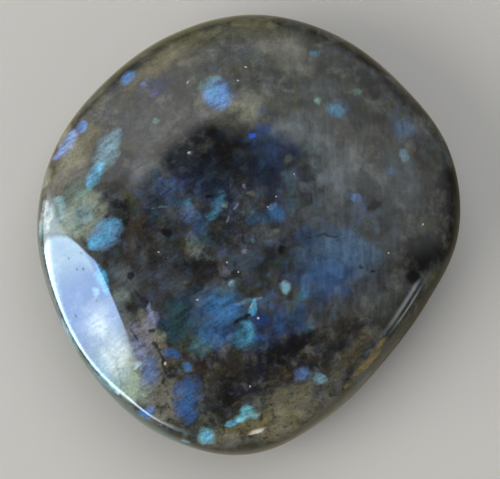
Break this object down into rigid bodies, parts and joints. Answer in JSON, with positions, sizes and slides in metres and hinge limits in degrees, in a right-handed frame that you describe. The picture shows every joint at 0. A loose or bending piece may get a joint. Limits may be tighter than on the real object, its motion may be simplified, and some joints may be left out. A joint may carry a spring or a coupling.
{
  "type": "polished labradorite palm stone",
  "caption": "Rounded, flattish polished labradorite stone with a low domed top and ground flats on its shoulder, lying on a flat base.",
  "frame": {"origin": "middle of the bounding box at the flat base, on the surface the stone lies on", "axes": "+Z up through the thickness, +Y along the longest plan dimension, +X to the right when the domed face is seen from above with +Y up"},
  "size_m": [0.067, 0.0698, 0.026],
  "materials": {
    "labradorite": "high polish, dark grey-green body with blue and teal flash"
  },
  "bodies": {
    "root": {"stone": "labradorite"}
  },
  "joints": []
}
